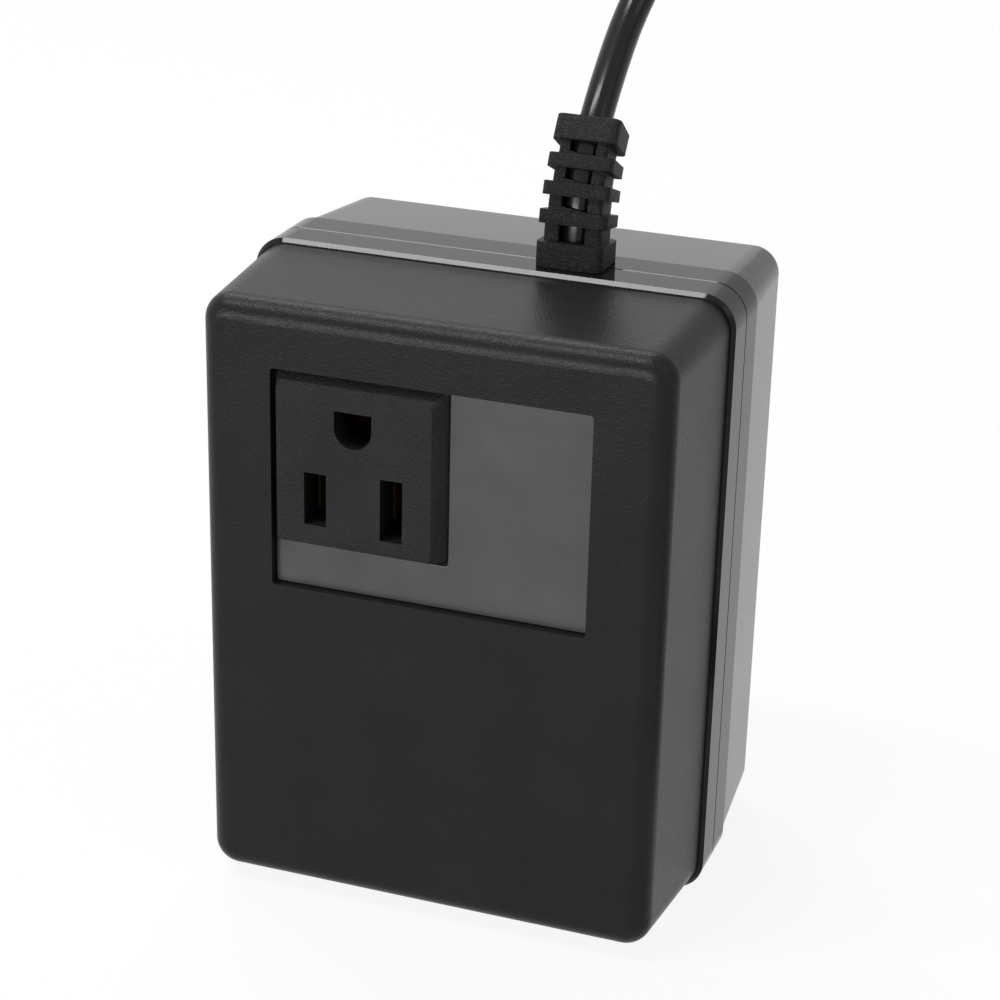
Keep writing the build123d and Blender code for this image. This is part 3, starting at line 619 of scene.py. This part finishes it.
class CONVERTER_OT_cord(bpy.types.Operator):
    """The cord: out of the strain relief, over and down to the floor, and wound into a coil"""

    bl_idname = "converter.cord"
    bl_label = "Cord"

    def execute(self, context):
        sizes = context.scene.converter_cord
        bpy.ops.curve.primitive_nurbs_path_add()
        cord = added("mains_cord")
        cord.data.splines.clear()
        spline = cord.data.splines.new("NURBS")
        points = [Vector(point) for point in CORD_ROUTE] + self.coil(sizes)
        spline.points.add(len(points) - 1)
        for control, point in zip(spline.points, points):
            control.co = (*point, 1)
        spline.order_u = 3
        spline.use_endpoint_u = True
        spline.resolution_u = 8
        cord.data.dimensions = "3D"
        cord.data.bevel_depth = sizes.diameter / 2
        cord.data.bevel_resolution = 8
        cord.data.use_fill_caps = True
        colour = context.scene.converter_finishes.cord_colour
        paint(smooth_plastic("cord_sheath", colour, 0.2, Specular_IOR_Level=0.2), cord)
        declare(cord, "cord_sheath", "cord", "cord_coil")
        return {"FINISHED"}

    def coil(self, sizes):
        """Control points round each half turn's arc: inwards, up a layer and out again."""
        outer, pitch = sizes.coil_radius, sizes.coil_pitch
        radii = [outer - pitch * (k + 0.5) / 2 for k in range(COIL_HALF_TURNS_IN)]
        climb_radius = outer - pitch * COIL_HALF_TURNS_IN / 2
        steps = [(radius, 0) for radius in radii]
        steps += [(climb_radius, COIL_LAYER_STEP)]
        steps += [(radius, 0) for radius in radii[::-1][:COIL_HALF_TURNS_OUT]]
        count = sizes.points_per_half_turn
        place = Vector(CORD_ROUTE[-1]) + Vector((COIL_START_RUN, 0, 0))
        heading = Vector((1, 0, 0))
        points = []
        for radius, climb in steps:
            side = Vector((heading.y, -heading.x, 0))
            centre = place + side * radius
            outside = radius / cos(pi / count / 2)
            for k in range(count):
                angle = pi * (k + 0.5) / count
                around = heading * sin(angle) - side * cos(angle)
                rise = Vector((0, 0, climb * (k + 0.5) / count))
                points.append(centre + around * outside + rise)
            place = place + side * (2 * radius) + Vector((0, 0, climb))
            heading = -heading
        return points + self.tail(place, heading, radii[0])

    def tail(self, place, heading, radius):
        """The last turn's corner and the run down to the plug."""
        turn = radians(COIL_LAST_TURN)
        side = Vector((heading.y, -heading.x, 0))
        chord = heading * (radius * sin(turn)) + side * (radius * (1 - cos(turn)))
        beyond = COIL_END_RUN + PLUG_REACH
        height = place.z - PLUG_THICKNESS / 2 - FLOOR_GAP
        drop = height / (1 + beyond * 2 * cos(turn / 2) / chord.length)
        chord -= Vector((0, 0, drop))
        corner = place + heading * (chord.length_squared / (2 * chord.dot(heading)))
        after = place + chord
        return [corner, after + (after - corner).normalized() * COIL_END_RUN]


# The case's top, the relief's middle across it, and the seam between the shells
CASE_TOP = 104.4 * MM
RELIEF_X = 12.1 * MM
SEAM_Y = 0.9 * MM
# The relief's outline from the flange inside the case up to the cap: height above the case's
# top, half width and half depth at each step, in millimetres
RELIEF_STEPS = [
    (-5.4, 6.5, 5.5),
    (-3.5, 6.5, 5.5),
    (-3.5, 4.8, 3.8),
    (0.15, 4.8, 3.8),
    (0.15, 5.49, 4.33),
    (3.78, 5.49, 4.33),
    (3.78, 4.72, 2.95),
    (6.28, 4.72, 2.95),
    (6.28, 5.63, 3.54),
    (8.25, 5.63, 3.54),
    (8.25, 4.45, 2.95),
    (10.33, 4.45, 2.95),
    (10.33, 5.49, 3.54),
    (12.30, 5.49, 3.54),
    (12.30, 4.22, 2.95),
    (14.38, 4.22, 2.95),
    (14.38, 5.36, 3.54),
    (16.35, 5.36, 3.54),
    (16.35, 4.0, 2.95),
    (18.43, 4.0, 2.95),
    (18.43, 5.22, 3.54),
    (22.06, 5.22, 3.54),
]
RELIEF_WINDOWS = [(3.78, 6.28), (8.25, 10.33), (12.30, 14.38), (16.35, 18.43)]
RELIEF_CORNER = 1.6 * MM
# The windows' and the channel's cutters reach past the relief on both sides
WINDOW_REACH = 20 * MM
CHANNEL_LENGTH = 80 * MM
CHANNEL_MIDDLE = 10 * MM
# Level cuts of the walls, a millimetre apart, let them bend
LEVEL_CUTS = 23


class CONVERTER_OT_strain_relief(bpy.types.Operator):
    """The segmented strain relief: drawn up straight, windowed and bored, then bent back"""

    bl_idname = "converter.strain_relief"
    bl_label = "Strain relief"

    def execute(self, context):
        sizes = context.scene.converter_relief
        relief = self.column()
        for low, high in RELIEF_WINDOWS:
            half = sizes.window_width / 2
            window = block(
                "window",
                (RELIEF_X - half, -WINDOW_REACH, CASE_TOP + low * MM),
                (RELIEF_X + half, WINDOW_REACH, CASE_TOP + high * MM),
            )
            cut(relief, window)
        bpy.ops.mesh.primitive_cylinder_add(
            radius=sizes.channel_radius,
            depth=CHANNEL_LENGTH,
            vertices=48,
            location=(RELIEF_X, SEAM_Y, CASE_TOP + CHANNEL_MIDDLE),
        )
        channel = added("channel")
        settle(channel)
        cut(relief, channel)
        apply_modifier(relief, "BEVEL", width=sizes.edge, segments=2, angle_limit=radians(35))
        self.refine(relief)
        self.bend(relief, sizes)
        smooth(relief)
        rubber = moulded_plastic(
            "relief_rubber",
            context.scene.converter_finishes.relief_colour,
            0.45,
            grain=RUBBER_GRAIN_SCALE,
            grain_depth=0.3 * MM,
            speckle=0.9,
        )
        paint(rubber, relief)
        declare(relief, "relief_rubber", "strain_relief")
        return {"FINISHED"}

    def column(self):
        """Extrude a rounded outline up through every step of the relief."""
        bpy.ops.mesh.primitive_plane_add(size=1)
        relief = added("strain_relief_grained")
        first, width, depth = RELIEF_STEPS[0]
        relief.location = (RELIEF_X, SEAM_Y, CASE_TOP + first * MM)
        relief.scale = (2 * width * MM, 2 * depth * MM, 1)
        settle(relief)
        with editing(relief):
            bpy.ops.mesh.select_all(action="SELECT")
            bpy.ops.mesh.bevel(offset=RELIEF_CORNER, segments=6, affect="VERTICES")
            bpy.ops.mesh.select_all(action="SELECT")
            for (low, *before), (high, *after) in zip(RELIEF_STEPS, RELIEF_STEPS[1:]):
                bpy.ops.mesh.extrude_region_move(
                    TRANSFORM_OT_translate={"value": (0, 0, (high - low) * MM)}
                )
                bpy.ops.transform.resize(
                    value=(after[0] / before[0], after[1] / before[1], 1),
                    center_override=(RELIEF_X, SEAM_Y, CASE_TOP + high * MM),
                )
            bpy.ops.mesh.select_all(action="SELECT")
            bpy.ops.mesh.normals_make_consistent(inside=False)
        return relief

    def refine(self, relief):
        """Cut the walls across at a steady pitch, so that they can bend."""
        with editing(relief):
            for k in range(1, LEVEL_CUTS + 1):
                bpy.ops.mesh.select_all(action="SELECT")
                bpy.ops.mesh.bisect(
                    plane_co=(0, 0, CASE_TOP + k * MM), plane_no=(0, 0, 1), use_fill=False
                )

    def bend(self, relief, sizes):
        """Lay each point above the bend's start on an arc backwards."""
        start = CASE_TOP + sizes.bend_start
        radius = sizes.bend_radius
        for vertex in relief.data.vertices:
            rise = vertex.co.z - start
            if rise > 0:
                angle = rise / radius
                out = vertex.co.y - SEAM_Y
                vertex.co.y = SEAM_Y + radius * (1 - cos(angle)) + out * cos(angle)
                vertex.co.z = start + radius * sin(angle) - out * sin(angle)


# The label plate's left edge, inner corner beside the outlet and right edge, its bottom edge,
# inner corner and top edge, and where its back lies
LABEL_X = (-25.95 * MM, 3.0 * MM, 25.95 * MM)
LABEL_Z = (55.95 * MM, 63.15 * MM, 91.85 * MM)
LABEL_BACK_Y = -29.0 * MM
LABEL_THICKNESS = 0.5 * MM
LABEL_CORNER = 0.5 * MM
LABEL_EDGE = 0.12 * MM


class CONVERTER_OT_label(bpy.types.Operator):
    """The bare satin plate in the recess: an L round two sides of the outlet"""

    bl_idname = "converter.label"
    bl_label = "Label plate"

    def execute(self, context):
        left, inner_x, right = LABEL_X
        low, inner_z, high = LABEL_Z
        bpy.ops.mesh.primitive_plane_add(size=1, rotation=(pi / 2, 0, 0))
        plate = added("label_plate_satin")
        plate.location = ((left + right) / 2, LABEL_BACK_Y, (low + high) / 2)
        plate.scale = (right - left, high - low, 1)
        settle(plate)
        with editing(plate):
            for place, normal in (((inner_x, 0, 0), (1, 0, 0)), ((0, 0, inner_z), (0, 0, 1))):
                bpy.ops.mesh.select_all(action="SELECT")
                bpy.ops.mesh.bisect(plane_co=place, plane_no=normal)
            pick("FACE", lambda face: middle(face).x < inner_x and middle(face).z > inner_z)
            bpy.ops.mesh.delete(type="FACE")
            bpy.ops.mesh.select_all(action="SELECT")
            bpy.ops.mesh.dissolve_limited(angle_limit=radians(1))
            bpy.ops.mesh.select_all(action="SELECT")
            bpy.ops.mesh.bevel(offset=LABEL_CORNER, segments=4, affect="VERTICES")
            bpy.ops.mesh.select_all(action="SELECT")
            bpy.ops.mesh.extrude_region_move(
                TRANSFORM_OT_translate={"value": (0, -LABEL_THICKNESS, 0)}
            )
            bpy.ops.mesh.select_all(action="SELECT")
            bpy.ops.mesh.normals_make_consistent(inside=False)
        apply_modifier(plate, "BEVEL", width=LABEL_EDGE, segments=2, angle_limit=radians(60))
        smooth(plate, 12)
        paint(satin_plate("label_plate", context.scene.converter_finishes.label_colour), plate)
        declare(plate, "label_plate", "label_plate")
        return {"FINISHED"}


# Corners of the outlet's box behind the recess, of its lip and of the bevelled block in front
BLOCK_LOW = (-25.6 * MM, -30.0 * MM, 63.3 * MM)
BLOCK_HIGH = (0.0, -14.0 * MM, 88.9 * MM)
LIP_LOW = (-27.1 * MM, -26.8 * MM, 61.8 * MM)
LIP_HIGH = (1.5 * MM, -24.8 * MM, 90.4 * MM)
FRONT_LOW = (-25.98 * MM, -31.2 * MM, 63.28 * MM)
FRONT_HIGH = (2.88 * MM, -29.02 * MM, 91.9 * MM)
# The face that the block's front is drawn in to, and the rounding of its ridges
FACE_SIZE = (25.62 * MM, 25.57 * MM)
FACE_MIDDLE = (-12.15 * MM, 76.72 * MM)
RIDGE_RADIUS = 0.9 * MM
# The slots' level on the face, and for each slot its middle across, its width and its height
SLOT_LEVEL = 71.48 * MM
SLOTS = [(-18.54 * MM, 3.7 * MM, 8.7 * MM), (-5.86 * MM, 3.7 * MM, 10.2 * MM)]
# The middle of the ground hole's half circle, its radius and the straight part above it
GROUND_HOLE = (-12.26 * MM, 83.87 * MM)
GROUND_RADIUS = 3.1 * MM
GROUND_FLAT = 2.75 * MM
# Each contact chamber's middle, width and height
CHAMBERS = [
    (-19.15 * MM, 70.9 * MM, 6.2 * MM, 12.2 * MM),
    (-6.45 * MM, 70.9 * MM, 6.2 * MM, 12.2 * MM),
    (-12.8 * MM, 83.3 * MM, 7.4 * MM, 7.4 * MM),
]
CHAMBER_FRONT_Y = -27.0 * MM
BEYOND_Y = (-35.0 * MM, -10.0 * MM)
CUT_OVERLAP = 0.01 * MM
OUTLET_EDGE = 0.22 * MM
# Under its pale speckle the outlet is darker than the case
OUTLET_SHADE = 0.6


class CONVERTER_OT_outlet(bpy.types.Operator):
    """The outlet block: a bevelled face with two slots and a ground hole, and its chambers"""

    bl_idname = "converter.outlet"
    bl_label = "Outlet block"

    def execute(self, context):
        outlet = self.front()
        self.add(outlet, block("box", BLOCK_LOW, BLOCK_HIGH))
        self.add(outlet, block("lip", LIP_LOW, LIP_HIGH))
        front, back = BEYOND_Y
        for x, width, height in SLOTS:
            self.opening(outlet, (x, SLOT_LEVEL), (width, height), front, CHAMBER_FRONT_Y)
        for x, z, width, height in CHAMBERS:
            self.opening(outlet, (x, z), (width, height), CHAMBER_FRONT_Y, back)
        x, z = GROUND_HOLE
        size = (2 * GROUND_RADIUS, GROUND_FLAT)
        self.opening(outlet, (x, z + GROUND_FLAT / 2), size, front, CHAMBER_FRONT_Y)
        self.half_round(outlet, x, z, front)
        apply_modifier(outlet, "BEVEL", width=OUTLET_EDGE, segments=3, angle_limit=radians(25))
        smooth(outlet, 14)
        ground = scaled(context.scene.converter_finishes.case_colour, OUTLET_SHADE)
        speckled = moulded_plastic(
            "socket_plastic", ground, 0.38, grain_depth=0.2 * MM, speckle=0.5
        )
        paint(speckled, outlet)
        declare(outlet, "socket_plastic", "socket_body")
        return {"FINISHED"}

    def front(self):
        """A block with rounded ridges whose front face is drawn in to the outlet's face."""
        outlet = block("outlet_speckled", FRONT_LOW, FRONT_HIGH)
        with editing(outlet):
            pick("EDGE", lambda edge: abs(edge.verts[0].co.y - edge.verts[1].co.y) > MM)
            bpy.ops.mesh.bevel(offset=RIDGE_RADIUS, segments=8)
            (left, front_y, low), (right, back_y, high) = FRONT_LOW, FRONT_HIGH
            pick("VERT", lambda vertex: vertex.co.y < (front_y + back_y) / 2)
            centre = ((left + right) / 2, front_y, (low + high) / 2)
            wide, tall = FACE_SIZE
            bpy.ops.transform.resize(
                value=(wide / (right - left), 1, tall / (high - low)), center_override=centre
            )
            bpy.ops.transform.translate(
                value=(FACE_MIDDLE[0] - centre[0], 0, FACE_MIDDLE[1] - centre[2])
            )
        return outlet

    def add(self, outlet, part):
        """Merge another block into the outlet."""
        apply_modifier(outlet, "BOOLEAN", operation="UNION", solver="EXACT", object=part)
        bpy.data.objects.remove(part)

    def opening(self, outlet, place, size, front, back):
        """Cut a rectangular opening from one depth to another."""
        (x, z), (width, height) = place, size
        low = (x - width / 2, front, z - height / 2)
        high = (x + width / 2, back + CUT_OVERLAP, z + height / 2)
        cut(outlet, block("opening", low, high))

    def half_round(self, outlet, x, z, front):
        """Cut the lower half of the ground hole."""
        depth = CHAMBER_FRONT_Y - front
        bpy.ops.mesh.primitive_cylinder_add(
            radius=GROUND_RADIUS,
            depth=depth,
            vertices=64,
            rotation=(pi / 2, 0, 0),
            location=(x, front + depth / 2, z),
        )
        cutter = added("ground_hole")
        settle(cutter)
        with editing(cutter):
            bpy.ops.mesh.select_all(action="SELECT")
            bpy.ops.mesh.bisect(
                plane_co=(0, 0, z + CUT_OVERLAP),
                plane_no=(0, 0, 1),
                clear_outer=True,
                use_fill=True,
            )
        cut(outlet, cutter)


# The rim and the rear shell, all that lies behind this depth, are polished
RIM_FRONT_Y = -5.85 * MM


class CONVERTER_OT_case(bpy.types.Operator):
    """Finishes of the two shells and the outlet's inner pieces"""

    bl_idname = "converter.case"
    bl_label = "Case and outlet"

    def execute(self, context):
        colour = context.scene.converter_finishes.case_colour
        shell = moulded_plastic("case_plastic", colour, 0.3, polished_y=RIM_FRONT_Y)
        paint(shell, nodes["front_shell"], nodes["rear_shell"])
        paint(smooth_plastic("cover_board", (0.45, 0.36, 0.22), 0.7), nodes["socket_cover"])
        # The contacts' brass is painted far darker than brass: painted shade for contacts that
        # sit deep in their chambers behind the slots
        brass = worked_metal("contact_brass", (0.14, 0.105, 0.05), 0.5)
        paint(brass, nodes["hot_contact"], nodes["neutral_contact"], nodes["ground_contact"])
        steel = worked_metal("screw_steel", (0.60, 0.60, 0.62), 0.35)
        paint(steel, nodes["socket_screws"], nodes["case_screws"])
        paint(steel, nodes["transformer_screws"], nodes["transformer_washers"])
        return {"FINISHED"}


class CONVERTER_OT_transformer(bpy.types.Operator):
    """Finishes of the core, bobbin, windings, fuse and wires inside the case"""

    bl_idname = "converter.transformer"
    bl_label = "Transformer"

    def execute(self, context):
        sheets = striped(
            "lamination_steel",
            (0.28, 0.29, 0.32),
            axis="Y",
            pitch=0.5 * MM,
            metallic=0.8,
            roughness=0.45,
            depth=0.05 * MM,
        )
        paint(sheets, nodes["core_e_laminations"], nodes["core_i_laminations"])
        turns = striped(
            "copper_winding",
            (0.62, 0.30, 0.14),
            axis="Z",
            pitch=0.45 * MM,
            metallic=0.9,
            roughness=0.3,
            depth=0.15 * MM,
        )
        paint(turns, nodes["primary_winding"], nodes["secondary_winding"])
        paint(smooth_plastic("bobbin_nylon", (0.82, 0.80, 0.74), 0.5), nodes["bobbin"])
        paint(smooth_plastic("winding_tape", (0.86, 0.72, 0.20), 0.35), nodes["winding_tape"])
        paint(worked_metal("tag_metal", (0.72, 0.72, 0.70), 0.4), nodes["bobbin_tags"])
        paint(worked_metal("fuse_metal", (0.78, 0.78, 0.80), 0.3), nodes["thermal_fuse"])
        paint(smooth_plastic("core_insulation", (0.10, 0.18, 0.45), 0.35), nodes["cord_cores"])
        leads = smooth_plastic("lead_insulation", (0.55, 0.09, 0.07), 0.35)
        paint(leads, nodes["secondary_leads"])
        return {"FINISHED"}


class CONVERTER_OT_plug(bpy.types.Operator):
    """Finishes of the plug, its bridge, pins and sleeves"""

    bl_idname = "converter.plug"
    bl_label = "Plug"

    def execute(self, context):
        colours = context.scene.converter_finishes
        paint(moulded_plastic("plug_plastic", colours.case_colour, 0.45), nodes["plug_body"])
        paint(smooth_plastic("bridge_plastic", (0.06, 0.06, 0.065), 0.5), nodes["plug_bridge"])
        paint(worked_metal("pin_metal", (0.80, 0.80, 0.80), 0.2), nodes["plug_pins"])
        sleeves = smooth_plastic("sleeve_plastic", colours.cord_colour, 0.4)
        paint(sleeves, nodes["plug_pin_sleeves"])
        return {"FINISHED"}


class CONVERTER_PT_panel(bpy.types.Panel):
    """Lists the steps that build the converter"""

    bl_idname = "CONVERTER_PT_panel"
    bl_label = "Travel voltage converter"
    bl_space_type = "VIEW_3D"
    bl_region_type = "UI"
    bl_category = "Converter"

    def draw(self, context):
        for step in STEPS:
            self.layout.operator(step.bl_idname)


STEPS = [
    CONVERTER_OT_stage,
    CONVERTER_OT_strain_relief,
    CONVERTER_OT_cord,
    CONVERTER_OT_label,
    CONVERTER_OT_outlet,
    CONVERTER_OT_case,
    CONVERTER_OT_transformer,
    CONVERTER_OT_plug,
]
GROUPS = {
    "converter_cord": CordSizes,
    "converter_relief": ReliefSizes,
    "converter_finishes": Finishes,
    "converter_stage": StageSettings,
}


def register():
    """Make the settings, the steps and the panel known to Blender."""
    for group in GROUPS.values():
        bpy.utils.register_class(group)
    for step in [*STEPS, CONVERTER_PT_panel]:
        bpy.utils.register_class(step)
    for name, group in GROUPS.items():
        setattr(bpy.types.Scene, name, PointerProperty(type=group))


def unregister():
    """Take them back."""
    for name in GROUPS:
        delattr(bpy.types.Scene, name)
    for made in [CONVERTER_PT_panel, *STEPS, *GROUPS.values()]:
        bpy.utils.unregister_class(made)


def main():
    """Build every piece in order."""
    register()
    deselect()
    bpy.ops.converter.stage()
    bpy.ops.converter.strain_relief()
    bpy.ops.converter.cord()
    bpy.ops.converter.label()
    bpy.ops.converter.outlet()
    bpy.ops.converter.case()
    bpy.ops.converter.transformer()
    bpy.ops.converter.plug()


if __name__ == "__main__":
    main()
